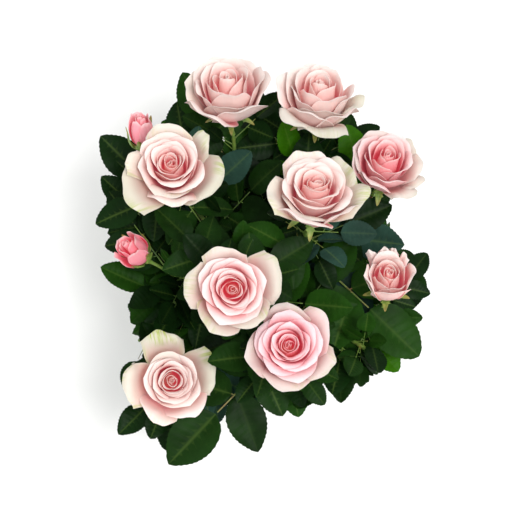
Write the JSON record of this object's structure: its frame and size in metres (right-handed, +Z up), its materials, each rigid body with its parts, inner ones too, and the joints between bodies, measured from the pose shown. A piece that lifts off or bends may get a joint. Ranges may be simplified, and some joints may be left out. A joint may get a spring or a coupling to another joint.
{
  "type": "rose bush in a plant pot",
  "caption": "Compact rose bush in a plain round pot, with short woody canes, serrated compound leaves, full double blooms in salmon pink and cream, and closed buds.",
  "frame": {"origin": "centre of the pot's flat underside, where it stands", "axes": "+Z up along the pot's axis; -Y towards the front, the side that the camera stands on; +X to the right"},
  "size_m": [0.2857, 0.3451, 0.3355],
  "materials": {
    "pot": "black moulded plastic, matt with a faint satin sheen",
    "compost": "moist dark compost with fine bark crumbs",
    "bark": "green-brown rose bark, browner and ridged towards the foot",
    "leaf": "satin dark green leaves, paler beneath",
    "petal": "soft velvety petals, salmon pink at the heart and cream at the rims"
  },
  "bodies": {
    "root": {"pot": "pot", "compost": "compost", "root_crown": "bark", "cane_1": "bark", "cane_2": "bark", "cane_3": "bark", "cane_4": "bark", "cane_5": "bark", "shoot_01": "leaf", "shoot_02": "leaf", "shoot_03": "leaf", "shoot_04": "leaf", "shoot_05": "leaf", "shoot_06": "leaf", "shoot_07": "leaf", "shoot_08": "leaf", "shoot_09": "leaf", "shoot_10": "leaf", "shoot_11": "leaf", "shoot_12": "leaf", "shoot_13": "leaf", "shoot_14": "leaf", "shoot_15": "leaf", "shoot_16": "leaf", "shoot_17": "leaf", "shoot_18": "leaf", "bloom_back_left": "petal", "bloom_back_right": "petal", "bloom_right_back": "petal", "bloom_left_back": "petal", "bloom_centre_right": "petal", "bloom_right": "petal", "bloom_centre": "petal", "bloom_front": "petal", "bloom_front_left": "petal", "bud_back": "petal", "bud_left": "petal"}
  },
  "joints": []
}
